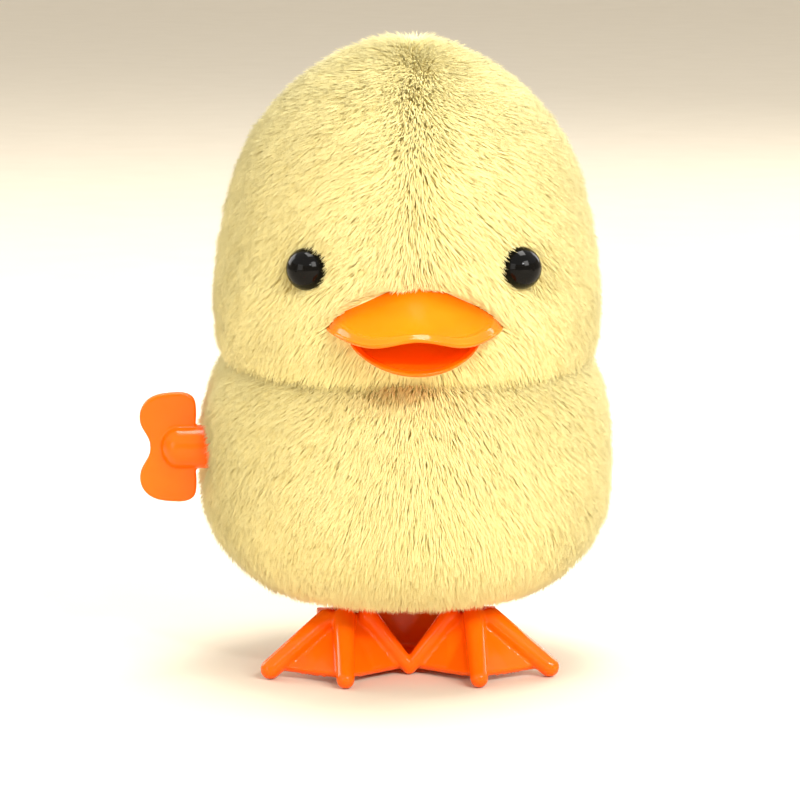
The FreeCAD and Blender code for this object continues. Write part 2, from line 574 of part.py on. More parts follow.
# Pallet: an anchor that straddles the star wheel and rocks on its own pin.
de = math.atan2(AX_E[1] - AX_D[1], AX_E[0] - AX_D[0])
arm = []
R1, R2 = 3.95, 5.0
for sgn in (1, -1):
    a_in = [along(AX_D, de + sgn * t, R1) for t in (0.0, 0.35, 0.7, 0.95)]
    a_out = [along(AX_D, de + sgn * t, R2) for t in (0.95, 0.7, 0.35, 0.0)]
    arm.append(prism_x(a_in + a_out if sgn > 0 else (a_in + a_out)[::-1], 4.1, 5.2))
pallet = fuse(cyl_x(AX_E, 1.25, 4.0, 5.3), arm[0], arm[1])
pallet = pallet.cut(cyl_x(AX_E, SMALL_R + RUN, 0, 9))
save(pallet, "pallet")
save(cyl_x(AX_E, SMALL_R, 3.9, 7.1), "pallet_pin")

# ------------------------------------------------------------------ base plate
base = cyl_z(0, 0.2, 14.7, 10.2, 11.4)
for s in (1, -1):
    xa, xb = sorted((s * (LEVER_X[0] - 0.3), s * (LEVER_X[1] + 0.3)))
    base = base.cut(box(xa, xb, -7.3, 20, 9, 12))
for x, y in BASE_SCREWS:
    base = base.fuse(cyl_z(x, y, 1.8, 11.35, 12.75))
for x, y in BASE_SCREWS:
    base = base.cut(cyl_z(x, y, 0.95, 9, 14)).cut(cyl_z(x, y, 1.6, 9, 10.9))
save(base, "base_plate")
bs_ = [cyl_z(x, y, 1.5, 10.25, 10.85).cut(box(x - 1.0, x + 1.0, y - 0.2, y + 0.2, 10.0, 10.55)).fuse(cyl_z(x, y, 0.8, 10.85, 15.0)) for x, y in BASE_SCREWS]
save(Part.makeCompound(bs_), "base_plate_screws")

# ------------------------------------------------------------------ feet
save(cyl_x(AX_H, HINGE_R, -11.4, 11.4), "foot_hinge_pin")
clips = []
for s in (1, -1):
    xa, xb = sorted((s * 10.6, s * 11.1))
    clips.append(cyl_x(AX_H, 2.0, xa, xb).cut(cyl_x(AX_H, HINGE_R + 0.01, xa - 1, xb + 1)).cut(box(xa - 1, xb + 1, AX_H[0] - 0.5, AX_H[0] + 0.5, AX_H[1] - 3, AX_H[1])))
save(Part.makeCompound(clips), "hinge_pin_clips")

c2 = (AX_C[0] - AX_H[0], AX_C[1] - AX_H[1])
sw = math.radians(FOOT_SWING)
c_end = (AX_H[0] + c2[0] * math.cos(sw) + c2[1] * math.sin(sw), AX_H[1] - c2[0] * math.sin(sw) + c2[1] * math.cos(sw))
WIN_R = CRANK_E + CRANK_PIN_R + 0.15
lever_outline = hull_circles([(AX_H[0], AX_H[1], 2.2), (AX_C[0], AX_C[1], 4.0), (c_end[0], c_end[1], 4.0), (-4.7, 9.0, 2.0), (-1.0, 9.0, 2.0)])
window = hull_circles([(AX_C[0], AX_C[1], WIN_R), (c_end[0], c_end[1], WIN_R)], 36)
ANKLE_TOP, FLANGE_TOP = 7.7, 9.0
for name, s in (("leg_lever_left", 1), ("leg_lever_right", -1)):
    xa, xb = sorted((s * LEVER_X[0], s * LEVER_X[1]))
    lv = prism_x(lever_outline, xa, xb).cut(box(-20, 20, -20, 20, 0, ANKLE_TOP))
    fa, fb = sorted((s * 5.6, s * LEVER_X[1]))
    lv = lv.fuse(box(fa, fb, -6.6, 0.9, ANKLE_TOP, FLANGE_TOP))
    lv = lv.cut(prism_x(window, -20, 20)).cut(cyl_x(AX_H, HINGE_R + RUN, -20, 20)).cut(cyl_z(s * 7.2, -2.8, 0.82, 5, 8.8))
    save(lv, name)

# One moulding for both feet: six toes on two ankles, webs between them, a heel bar behind.
# tip x, tip y, tip radius, root x, root y, root z, root radius
TOES = {
    "outer": (19.2, -11.1, 1.4, 11.3, -8.0, 7.65, 1.6),
    "middle": (9.1, -18.1, 1.25, 8.9, -8.6, 8.2, 1.5),
    "inner": (0.0, -8.6, 1.0, 5.7, -7.9, 8.0, 1.45),
}


def toe(a, b, ra, rb):
    d = b - a
    c = Part.makeCone(ra, rb, d.Length, a, d)
    return fuse(c, Part.makeSphere(ra, a), Part.makeSphere(rb, b))


def web(p, q, r):
    """A flat triangular web, thickened backwards and downwards."""
    return Part.Face(Part.makePolygon([p, q, r, p])).extrude(V(0, 0.85, -0.85))


feet = None
for s in (1, -1):
    # Toe roots stand in a row across the front of the ankle, up under the body.
    tops = {k: V(s * t[3], t[4], t[5]) for k, t in TOES.items()}
    tips = {k: V(s * t[0], t[1], t[2]) for k, t in TOES.items()}
    solids = [toe(tops[k], tips[k], TOES[k][6], TOES[k][2]) for k in TOES]
    block = box(*sorted((s * 5.8, s * 12.6)), -7.6, 1.2, 2.0, ANKLE_TOP)
    solids.append(block)
    for k1, k2 in (("outer", "middle"), ("middle", "inner")):
        e1 = tops[k1] * 0.14 + tips[k1] * 0.86 + V(0, 0, -0.55)
        e2 = tops[k2] * 0.14 + tips[k2] * 0.86 + V(0, 0, -0.55)
        mid = (e1 + e2) * 0.5 + V(0, 0.7, -0.25)
        solids.append(web(tops[k1], e1, mid))
        solids.append(web(tops[k1], mid, tops[k2]))
        solids.append(web(tops[k2], mid, e2))
    # back of the ankle down to the heel
    side_pts = [(1.2, ANKLE_TOP), (2.6, 6.6), (6.2, 2.0), (8.0, 0.0), (-2.2, 0.0), (-2.2, 1.6), (-0.5, 2.0), (-0.5, ANKLE_TOP)]
    solids.append(prism_x(side_pts, *sorted((s * 6.2, s * 12.2))))
    part = solids[0]
    for x in solids[1:]:
        part = part.fuse(x)
    feet = part if feet is None else feet.fuse(part)
bridge = prism_x([(-2.2, 0.0), (8.0, 0.0), (6.4, 1.9), (4.6, 3.6), (2.4, 3.6), (-2.2, 1.6)], -12.2, 12.2)
feet = feet.fuse(bridge).fuse(box(-6.6, 6.6, -0.4, 1.2, 0.8, ANKLE_TOP))
feet = feet.cut(box(-40, 40, -40, 40, -10, 0))
feet = feet.cut(box(-14, 14, -6.7, 4, ANKLE_TOP, 12))
for s in (1, -1):
    feet = feet.cut(cyl_z(s * 7.2, -2.8, 0.95, -1, 9)).cut(cyl_z(s * 7.2, -2.8, 1.7, -1, 4.6))
save(feet, "feet")
fs = [cyl_z(s * 7.2, -2.8, 1.55, 3.6, 4.55).cut(box(s * 7.2 - 1.1, s * 7.2 + 1.1, -3.0, -2.6, 3.0, 4.0)).fuse(cyl_z(s * 7.2, -2.8, 0.8, 4.55, 8.7)) for s in (1, -1)]
save(Part.makeCompound(fs), "leg_screws")
print("A", AX_A, "B", AX_B, "C", AX_C, "D", AX_D, "E", AX_E, "crank pin", crank_at, "window", c_end)
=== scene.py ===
import bpy
import bmesh
import json
import math
import numpy as np
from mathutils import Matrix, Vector


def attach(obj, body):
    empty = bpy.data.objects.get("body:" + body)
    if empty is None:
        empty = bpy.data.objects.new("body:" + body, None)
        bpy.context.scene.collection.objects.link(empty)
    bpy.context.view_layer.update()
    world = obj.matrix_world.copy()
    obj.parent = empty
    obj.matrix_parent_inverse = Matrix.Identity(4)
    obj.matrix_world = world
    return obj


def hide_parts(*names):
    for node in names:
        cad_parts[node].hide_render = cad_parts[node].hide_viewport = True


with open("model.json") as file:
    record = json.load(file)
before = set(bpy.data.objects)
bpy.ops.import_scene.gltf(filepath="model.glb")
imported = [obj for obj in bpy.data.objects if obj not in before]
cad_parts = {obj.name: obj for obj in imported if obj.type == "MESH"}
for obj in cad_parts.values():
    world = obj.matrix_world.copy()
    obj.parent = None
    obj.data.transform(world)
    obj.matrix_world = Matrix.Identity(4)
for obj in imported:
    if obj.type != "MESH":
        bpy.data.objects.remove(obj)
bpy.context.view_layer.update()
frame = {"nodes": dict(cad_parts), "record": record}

bpy.context.scene.view_settings.view_transform = "Standard"
MM = 0.001
SEED = 4711

# ---------------------------------------------------------------- driving sizes, in mm, as in the CAD part
BODY = [
    (9.5, 16.0), (10.5, 18.2), (12.2, 20.9), (14.4, 23.4), (17.0, 25.7), (20.2, 27.4), (23.6, 28.3), (27.0, 28.6),
    (30.4, 28.6), (33.8, 28.35), (37.2, 27.8), (40.4, 26.9), (43.2, 25.5), (45.6, 23.2), (47.6, 19.8), (49.2, 15.2),
    (50.2, 9.6), (50.6, 4.0), (50.65, 0.0),
]
HEAD = [
    (35.9, 0.0), (36.0, 4.0), (36.6, 10.2), (37.8, 15.8), (39.4, 20.0), (41.4, 23.2), (43.6, 25.2), (46.2, 26.2),
    (49.6, 26.6), (53.6, 26.6), (58.0, 26.1), (62.2, 25.35), (66.2, 24.4), (70.0, 23.2), (73.6, 21.6), (77.0, 19.4),
    (80.2, 16.6), (83.0, 13.2), (85.4, 9.3), (87.1, 5.2), (87.8, 2.2), (87.9, 0.0),
]
HEAD_CY, BODY_CY = -1.5, 1.0
PILE = 2.1                      # standing height of the fur over its backing
EYE_X, EYE_Z, EYE_SINK = 14.8, 57.9, 1.1
KEY_Y, KEY_Z = -2.0, 31.0
OPEN_R = 15.2                   # opening under the body


# ---------------------------------------------------------------- helpers
def dense(rows, n=16):
    """Catmull-Rom points (r, z) through (z, r) rows."""
    a = np.array(rows, float)
    p = np.vstack([a[0], a, a[-1]])
    out = []
    for i in range(1, len(p) - 2):
        t = np.linspace(0, 1, n, endpoint=False)[:, None]
        out.append(0.5 * (2 * p[i] + (p[i + 1] - p[i - 1]) * t + (2 * p[i - 1] - 5 * p[i] + 4 * p[i + 1] - p[i + 2]) * t ** 2
                          + (3 * p[i] - p[i - 1] - 3 * p[i + 1] + p[i + 2]) * t ** 3))
    out.append(p[-1][None])
    c = np.vstack(out)
    return np.stack([c[:, 1], c[:, 0]], 1)


def inward(c, d):
    """The (r, z) curve, running upwards, moved inwards by d."""
    t = np.gradient(c, axis=0)
    t /= np.linalg.norm(t, axis=1)[:, None]
    m = c + d * np.stack([-t[:, 1], t[:, 0]], 1)
    return m[m[:, 0] >= 0]


def hash3(i):
    """Repeatable pseudo-random numbers in 0..1 for integer lattice points."""
    v = np.sin(i[..., 0] * 127.1 + i[..., 1] * 311.7 + i[..., 2] * 74.7) * 43758.5453
    return v - np.floor(v)


def noise(p, scale):
    """Smooth value noise in -1..1 at points p, with features of about scale millimetres."""
    q = p / scale
    i = np.floor(q)
    f = q - i
    f = f * f * (3 - 2 * f)
    total = 0.0
    for dx in (0, 1):
        for dy in (0, 1):
            for dz in (0, 1):
                w = (f[:, 0] if dx else 1 - f[:, 0]) * (f[:, 1] if dy else 1 - f[:, 1]) * (f[:, 2] if dz else 1 - f[:, 2])
                total = total + w * hash3(i + np.array([dx, dy, dz]))
    return total * 2 - 1


def unit(v):
    return v / np.maximum(np.linalg.norm(v, axis=-1, keepdims=True), 1e-9)


def smoothstep(a, b, x):
    t = np.clip((x - a) / (b - a), 0, 1)
    return t * t * (3 - 2 * t)


def mesh_object(name, verts_mm, faces, smooth=True):
    me = bpy.data.meshes.new(name)
    me.from_pydata((np.asarray(verts_mm) * MM).tolist(), [], [list(map(int, f)) for f in faces])
    me.validate()
    me.update()
    if smooth:
        me.polygons.foreach_set("use_smooth", [True] * len(me.polygons))
    o = bpy.data.objects.new(name, me)
    bpy.context.scene.collection.objects.link(o)
    return o


def apply_mods(o):
    dg = bpy.context.evaluated_depsgraph_get()
    me = bpy.data.meshes.new_from_object(o.evaluated_get(dg))
    o.modifiers.clear()
    o.data = me
    return o


# ---------------------------------------------------------------- materials
def material(name):
    m = bpy.data.materials.new(name)
    m.use_nodes = True
    nt = m.node_tree
    b = nt.nodes["Principled BSDF"]
    return m, nt, b


def node(nt, kind, **values):
    n = nt.nodes.new(kind)
    for k, v in values.items():
        if k in n.inputs:
            n.inputs[k].default_value = v
        else:
            setattr(n, k, v)
    return n


def ramp(nt, fac, stops):
    r = nt.nodes.new("ShaderNodeValToRGB")
    e = r.color_ramp.elements
    while len(e) < len(stops):
        e.new(0.5)
    for el, (p, c) in zip(e, stops):
        el.position = p
        el.color = (*c, 1)
    nt.links.new(fac, r.inputs["Fac"])
    return r.outputs["Color"]


def plastic(name, low, high, rough=0.22, coat=0.35, bump=0.02, scale=900.0, sss=0.0):
    """Moulded plastic: a slow drift of tone, a fine moulded grain and a clear gloss."""
    m, nt, b = material(name)
    co = nt.nodes.new("ShaderNodeTexCoord")
    big = node(nt, "ShaderNodeTexNoise", Scale=90.0, Detail=3.0)
    nt.links.new(co.outputs["Object"], big.inputs["Vector"])
    nt.links.new(ramp(nt, big.outputs["Fac"], [(0.3, low), (0.7, high)]), b.inputs["Base Color"])
    fine = node(nt, "ShaderNodeTexNoise", Scale=scale, Detail=4.0)
    nt.links.new(co.outputs["Object"], fine.inputs["Vector"])
    mr = node(nt, "ShaderNodeMapRange")
    mr.inputs["To Min"].default_value, mr.inputs["To Max"].default_value = rough * 0.8, rough * 1.25
    nt.links.new(fine.outputs["Fac"], mr.inputs["Value"])
    nt.links.new(mr.outputs["Result"], b.inputs["Roughness"])
    bp = node(nt, "ShaderNodeBump", Strength=bump, Distance=0.0002)
    nt.links.new(fine.outputs["Fac"], bp.inputs["Height"])
    nt.links.new(bp.outputs["Normal"], b.inputs["Normal"])
    b.inputs["Coat Weight"].default_value = coat
    b.inputs["Coat Roughness"].default_value = 0.06
    b.inputs["IOR"].default_value = 1.49
    if sss:
        b.inputs["Subsurface Weight"].default_value = sss
        b.inputs["Subsurface Radius"].default_value = (0.0025, 0.0008, 0.0002)
    return m


def metal(name, low, high, rough, stretch):
    m, nt, b = material(name)
    co = nt.nodes.new("ShaderNodeTexCoord")
    mp = node(nt, "ShaderNodeMapping")
    mp.inputs["Scale"].default_value = stretch
    nt.links.new(co.outputs["Object"], mp.inputs["Vector"])
    n = node(nt, "ShaderNodeTexNoise", Scale=700.0, Detail=5.0)
    nt.links.new(mp.outputs["Vector"], n.inputs["Vector"])
    nt.links.new(ramp(nt, n.outputs["Fac"], [(0.3, low), (0.7, high)]), b.inputs["Base Color"])
    mr = node(nt, "ShaderNodeMapRange")
    mr.inputs["To Min"].default_value, mr.inputs["To Max"].default_value = rough * 0.75, rough * 1.3
    nt.links.new(n.outputs["Fac"], mr.inputs["Value"])
    nt.links.new(mr.outputs["Result"], b.inputs["Roughness"])
    b.inputs["Metallic"].default_value = 1.0
    return m


ORANGE = plastic("orange_moulding", (0.98, 0.115, 0.001), (1.0, 0.150, 0.002), 0.15, 0.06, 0.03, sss=0.1)
BILL = plastic("bill_upper_moulding", (0.98, 0.165, 0.001), (1.0, 0.215, 0.002), 0.13, 0.12, 0.02, sss=0.1)
# The lower bill: the bill's orange made darker and redder, painted shade for the inside of the mouth under the upper
# bill.
MOUTH_SHADED = plastic("bill_lower_shaded_orange", (0.98, 0.130, 0.001), (1.0, 0.175, 0.002), 0.14, 0.12, 0.02, sss=0.1)
for look in (ORANGE, BILL, MOUTH_SHADED):
    look.node_tree.nodes["Principled BSDF"].inputs["Specular IOR Level"].default_value = 0.2
EYE = plastic("eye_moulding", (0.002, 0.002, 0.002), (0.004, 0.0035, 0.003), 0.08, 0.0, 0.0)
EYE.node_tree.nodes["Principled BSDF"].inputs["Specular IOR Level"].default_value = 0.14
CREAM = plastic("shell_moulding", (0.78, 0.66, 0.36), (0.84, 0.72, 0.42), 0.45, 0.0, 0.08, 500.0)
WHITE = plastic("gearbox_moulding", (0.72, 0.72, 0.69), (0.80, 0.80, 0.77), 0.4, 0.0, 0.06, 600.0)
NYLON = plastic("gear_moulding", (0.84, 0.83, 0.78), (0.90, 0.89, 0.85), 0.35, 0.1, 0.04, 800.0)
STEEL = metal("bright_steel", (0.50, 0.50, 0.51), (0.66, 0.66, 0.67), 0.28, (0.2, 1, 1))
BLUED = metal("spring_steel", (0.20, 0.22, 0.26), (0.36, 0.38, 0.42), 0.3, (1, 0.25, 0.25))

LOOK = {"orange_plastic": ORANGE, "mouth_plastic": MOUTH_SHADED, "eye_plastic": EYE, "shell_plastic": CREAM, "gearbox_plastic": WHITE,
        "gear_plastic": NYLON, "steel": STEEL, "spring_steel": BLUED, "plush": None}
for sp in frame["record"]["subparts"]:
    o = frame["nodes"][sp["node"]]
    look = LOOK.get(sp["material_slot"])
    if look is not None:
        for s in (o.material_slots or [None]):
            if s is None:
                o.data.materials.append(look)
            else:
                s.material = look
frame["nodes"]["beak_upper"].material_slots[0].material = BILL

# ---------------------------------------------------------------- plush backing and fur
FUR, nt, b = material("plush_pile")
tt = node(nt, "ShaderNodeAttribute", attribute_name="fur_t")
tv = node(nt, "ShaderNodeAttribute", attribute_name="fur_v")
# Along each strand from root to tip: darker and more saturated at the root, painted shade deep between the strands.
base_col = ramp(nt, tt.outputs["Fac"], [(0.0, (0.98, 0.76, 0.24)), (0.35, (1.0, 0.83, 0.33)), (0.75, (1.0, 0.87, 0.39)), (1.0, (1.0, 0.89, 0.44))])
var = ramp(nt, tv.outputs["Fac"], [(0.0, (0.97, 0.95, 0.88)), (0.5, (1, 1, 1)), (1.0, (1.0, 1.0, 1.0))])
mix = node(nt, "ShaderNodeMix", data_type="RGBA", blend_type="MULTIPLY")
mix.inputs[0].default_value = 1.0
nt.links.new(base_col, mix.inputs[6])
nt.links.new(var, mix.inputs[7])
nt.links.new(mix.outputs[2], b.inputs["Base Color"])
b.inputs["Roughness"].default_value = 0.55
b.inputs["IOR"].default_value = 1.35
b.inputs["Sheen Weight"].default_value = 0.4
b.inputs["Sheen Roughness"].default_value = 0.5
b.inputs["Sheen Tint"].default_value = (1.0, 0.92, 0.60, 1)
b.inputs["Specular IOR Level"].default_value = 0.2

BACK, nt, b = material("plush_backing")
co = nt.nodes.new("ShaderNodeTexCoord")
kn = node(nt, "ShaderNodeTexVoronoi", Scale=1400.0)
nt.links.new(co.outputs["Object"], kn.inputs["Vector"])
nt.links.new(ramp(nt, kn.outputs["Distance"], [(0.0, (1.0, 0.89, 0.46)), (0.8, (0.98, 0.84, 0.38))]), b.inputs["Base Color"])
bp = node(nt, "ShaderNodeBump", Strength=0.5, Distance=0.0003)
nt.links.new(kn.outputs["Distance"], bp.inputs["Height"])
nt.links.new(bp.outputs["Normal"], b.inputs["Normal"])
b.inputs["Roughness"].default_value = 0.9
b.inputs["Sheen Weight"].default_value = 0.3


class Form:
    """A revolved form, its backing surface, and a way to sample points evenly over it."""

    def __init__(self, rows, cy):
        self.cy = cy
        self.outer = dense(rows)
        self.base = inward(self.outer, PILE)
        if rows is BODY:
            # the backing turns in under the body to the opening
            self.base = self.base[self.base[:, 1] >= 10.9]
            r0, z0 = self.base[0]
            turn = [(OPEN_R - 0.1, 12.0), (OPEN_R - 0.1, 11.3), (OPEN_R + 0.2, 10.85)]
            self.base = np.vstack([turn, self.base]) if r0 > OPEN_R + 0.3 else self.base

    def radius(self, z, curve=None):
        """Outermost radius of the backing at height z."""
        c = self.base if curve is None else curve
        order = np.argsort(c[:, 1])
        return np.interp(z, c[order, 1], c[order, 0], left=0, right=0)

    def sample(self, count, rng):
        c = self.base
        seg = np.linalg.norm(np.diff(c, axis=0), axis=1)
        area = seg * (c[:-1, 0] + c[1:, 0]) / 2
        cum = np.concatenate([[0], np.cumsum(area)])
        u = (np.arange(count) + rng.random(count)) / count * cum[-1]
        k = np.clip(np.searchsorted(cum, u) - 1, 0, len(seg) - 1)
        f = (u - cum[k]) / np.maximum(area[k], 1e-9)
        rz = c[k] + (c[k + 1] - c[k]) * f[:, None]
        phi = np.arange(count) * 2.399963229728653 + rng.normal(0, 0.012, count)
        t = unit(c[k + 1] - c[k])
        # smooth the normal between segments
        tk = np.gradient(c, axis=0)
        tk = unit(tk)
        ts = unit(tk[k] * (1 - f[:, None]) + tk[k + 1] * f[:, None])
        cs, sn = np.cos(phi), np.sin(phi)
        p = np.stack([rz[:, 0] * cs, rz[:, 0] * sn + self.cy, rz[:, 1]], 1)
        n = np.stack([ts[:, 1] * cs, ts[:, 1] * sn, -ts[:, 0]], 1)
        return p, n


HF, BF = Form(HEAD, HEAD_CY), Form(BODY, BODY_CY)


def eye_centre(side):
    r = np.interp(EYE_Z, [q[0] for q in HEAD], [q[1] for q in HEAD])
    y = HEAD_CY - math.sqrt(r * r - EYE_X ** 2)
    out = np.array([side * EYE_X, y - HEAD_CY, 1.2])
    out /= np.linalg.norm(out)
    return np.array([side * EYE_X, y, EYE_Z]) - out * EYE_SINK, out


EYES = [eye_centre(1), eye_centre(-1)]


def shape(p, n, kind):
    """The sewn form: tucked in along its seams and round the eyes, puffed out at the cheeks beside the bill. Same for
    backing and fur.
    """
    d = 0.25 * noise(p, 11.0)
    if kind == "head":
        front = smoothstep(-2, -14, p[:, 1]) * smoothstep(40, 46, p[:, 2])
        d -= 0.10 * np.exp(-(p[:, 0] / 1.4) ** 2) * smoothstep(38, 44, p[:, 2])
        for c, out in EYES:
            r = np.linalg.norm(p - c, axis=1)
            d -= 0.7 * np.exp(-(r / 3.6) ** 2)
            d += 0.35 * np.exp(-((r - 6.5) / 2.5) ** 2)
        cheek = np.exp(-(((np.abs(p[:, 0]) - 14.0) / 6.0) ** 2 + ((p[:, 2] - 50.0) / 5.0) ** 2)) * front
        d += 0.8 * cheek
    else:
        d -= 0.3 * np.exp(-((p[:, 1] + 2.0) / 1.2) ** 2)
    return p + n * d[:, None]


def comb(p, n, kind):
    """Which way the pile lies."""
    down = np.array([0.0, 0.0, -1.0]) - (-n[:, 2:3]) * n
    down = down / np.maximum(np.linalg.norm(down, axis=1, keepdims=True), 0.25)
    sx = np.tanh((p[:, 0] + 0.8 * noise(p + 91.0, 1.1)) / 5.0)[:, None]
    lat = sx * np.array([1.0, 0, 0]) - (sx * n[:, 0:1]) * n
    if kind == "head":
        w = np.exp(-(np.abs(p[:, 0]) / 11.0) ** 2)[:, None]
        top = smoothstep(66, 84, p[:, 2])[:, None]
        t = lat * (0.30 + 0.45 * w) * (1 - 0.7 * top) + down * (0.95 - 0.25 * w)
        # the pile runs outwards from the crown, and back behind it
        t += np.array([0, 1.0, 0]) * 0.5 * (top * smoothstep(0, 9, p[:, 1])[:, None])
    else:
        t = lat * 0.35 + down * 1.0
    # slow swirls
    t[:, 0] += 0.2 * noise(p, 7.0)
    t[:, 1] += 0.2 * noise(p + 31.0, 7.0)
    t[:, 2] += 0.2 * noise(p + 67.0, 7.0)
    t -= (t * n).sum(1, keepdims=True) * n
    return unit(t)


def clearings(p, n, t, L, kind):
    """Keeps the pile off the eyes, the bill, the key and the opening. Returns what to keep and the new direction and length."""
    keep = np.ones(len(p), bool)
    lift = np.zeros(len(p))
    if kind == "head":
        for c, out in EYES:
            rel = p - c
            ax = (rel @ out)[:, None] * out
            rad = rel - ax
            r = np.linalg.norm(rad, axis=1)
            near = r < 8
            near &= (rel @ out) > -4
            keep &= ~(near & (r < 2.3))
            w = np.where(near, np.exp(-((r - 2.7) / 0.9) ** 2) * 0.42, 0)[:, None]
            t = unit(t * (1 - w) - unit(rad) * w)
            L = L * np.where(near, 0.72 + 0.28 * smoothstep(2.2, 4.4, r), 1)
        front = p[:, 1] < -15
        x, z = p[:, 0], p[:, 2]
        # the bill's outline at the face, as a distance in its own half widths
        zc = 50.4
        up = z > zc
        u = np.abs(x) / np.where(up, 11.0, 8.2)
        over = np.where(up, 5.3 * np.clip(1 - u ** 2, 0, 1) ** 0.9, 5.3 * np.sqrt(np.clip(1 - u ** 2, 0, 1)))
        inside = front & (u < 1) & (np.abs(z - zc) < over)
        keep &= ~inside
        cx = np.clip(x, -10.6, 10.6)
        cu = np.clip(np.abs(cx) / np.where(up, 11.0, 8.2), 0, 1)
        ring = np.where(up, 5.3 * (1 - cu ** 2) ** 0.9, -5.3 * np.sqrt(1 - cu ** 2))
        dist = np.hypot(x - cx, z - zc - ring)
        w = np.where(front & ~inside, np.exp(-(dist / 1.3) ** 2) * 0.45, 0)[:, None]
        centre = np.array([0, 0, 50.0])
        rad = unit((p - centre) * np.array([0.45, 0, 1.0]))
        rad = rad - (rad * n).sum(1, keepdims=True) * n
        t = unit(t * (1 - w) + rad * w)
        L = L * np.where(front & ~inside, 0.55 + 0.45 * smoothstep(0.0, 2.5, dist), 1)
        # nothing inside the body
        rb = np.hypot(p[:, 0], p[:, 1] - BODY_CY)
        keep &= ~((rb < BF.radius(p[:, 2]) - 0.4) & (p[:, 2] < 50))
    else:
        rh = np.hypot(p[:, 0], p[:, 1] - HEAD_CY)
        keep &= ~((rh < HF.radius(p[:, 2]) - 0.4) & (p[:, 2] > 36))
        key = (p[:, 0] < 0) & (np.hypot(p[:, 1] - KEY_Y, p[:, 2] - KEY_Z) < 3.3)
        keep &= ~key
        rk = np.hypot(p[:, 1] - KEY_Y, p[:, 2] - KEY_Z)
        rad = unit(p * np.array([0, 1, 1]) - np.array([0, KEY_Y, KEY_Z]))
        w = np.where(p[:, 0] < 0, np.exp(-((rk - 3.2) / 1.6) ** 2) * 0.7, 0)[:, None]
        t = unit(t * (1 - w) + rad * w)
        low = p[:, 2] < 14
        L = L * np.where(low, 0.72 + 0.28 * smoothstep(10.5, 14.5, p[:, 2]), 1)
        keep &= ~((np.hypot(p[:, 0], p[:, 1] - 0.2) < OPEN_R + 0.02) & (p[:, 2] < 13) & (p[:, 2] > 11.6))
    return keep, t, L, lift


def strands(name, p, n, t, L, lift, seeds, back, node_names, tint):
    """Builds curved tapered strands as closed three-sided tubes that end in a point."""
    cnt = len(p)
    r1, r2, r3, r4 = (seeds[:, k:k + 1] for k in range(4))
    w0 = WIDTH * (0.8 + 0.5 * r1)
    a0 = np.radians(np.clip(30 + 12 * (r2 - 0.5), 5, 80)) * (1 - lift[:, None])
    a1 = np.radians(np.clip(54 + 20 * (r3 - 0.5), 5, 85)) * (1 - lift[:, None])
    side = unit(np.cross(t, n))
    bend = (r4 - 0.5) * 0.5
    d0 = unit(n * np.cos(a0) + (t + side * bend * 0.5) * np.sin(a0))
    d1 = unit(n * np.cos(a1) + (t + side * bend) * np.sin(a1))
    p0 = p - n * 0.15
    p1 = p0 + d0 * (L[:, None] * 0.5)
    p2 = p1 + d1 * (L[:, None] * 0.5)
    rings, eased = [], []
    for q, d, w in ((p0, d0, w0), (p1, unit(d0 + d1), w0 * 0.85)):
        s = unit(np.cross(d, n) + 1e-6)
        c = np.cross(d, s)
        for k in range(3):
            a = 2 * math.pi * k / 3 + math.pi / 2
            out = math.cos(a) * s + math.sin(a) * c
            rings.append(q + w / 2 * out)
            eased.append(unit(n + 0.35 * out))
    v = np.stack(rings + [p2], 1).reshape(-1, 3)            # 7 vertices a strand
    vn = np.stack(eased + [n], 1).reshape(-1, 3)
    f = []
    for k in range(3):
        j = (k + 1) % 3
        f += [(k, j, 3 + j), (k, 3 + j, 3 + k), (3 + k, 3 + j, 6)]
    f.append((2, 1, 0))
    f = np.array(f)
    tri = (f[None] + (np.arange(cnt) * 7)[:, None, None]).reshape(-1, 3)
    me = bpy.data.meshes.new(name)
    me.vertices.add(len(v))
    me.vertices.foreach_set("co", (v * MM).astype(np.float32).ravel())
    me.loops.add(len(tri) * 3)
    me.loops.foreach_set("vertex_index", tri.astype(np.int32).ravel())
    me.polygons.add(len(tri))
    me.polygons.foreach_set("loop_start", np.arange(len(tri), dtype=np.int32) * 3)
    me.polygons.foreach_set("loop_total", np.full(len(tri), 3, np.int32))
    me.update(calc_edges=True)
    me.polygons.foreach_set("use_smooth", np.ones(len(tri), bool))
    ft = me.attributes.new("fur_t", "FLOAT", "POINT")
    ft.data.foreach_set("value", np.tile(np.array([0, 0, 0, 0.5, 0.5, 0.5, 1.0], np.float32), cnt))
    fv = me.attributes.new("fur_v", "FLOAT", "POINT")
    fv.data.foreach_set("value", np.repeat(tint.astype(np.float32), 7))
    # one small cell of the map for each strand, root at the bottom and tip at the top
    g = int(math.ceil(math.sqrt(cnt)))
    cell = np.stack([np.arange(cnt) % g, np.arange(cnt) // g], 1) / g
    local = np.array([(0.15, 0.12), (0.5, 0.12), (0.85, 0.12), (0.15, 0.5), (0.5, 0.5), (0.85, 0.5), (0.5, 0.88)]) / g
    uv = (cell[:, None, :] + local[None]).reshape(-1, 2)[tri.ravel()]
    layer = me.uv_layers.new(name="OFBake")
    layer.data.foreach_set("uv", uv.astype(np.float32).ravel())
    me.normals_split_custom_set_from_vertices(vn.tolist())
    me.materials.append(FUR)
    o = bpy.data.objects.new(name, me)
    bpy.context.scene.collection.objects.link(o)
    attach(o, "toy_body")
    return o


WIDTH = 0.155
DENSITY = 22.0
PANEL = 19500                # strands in one piece


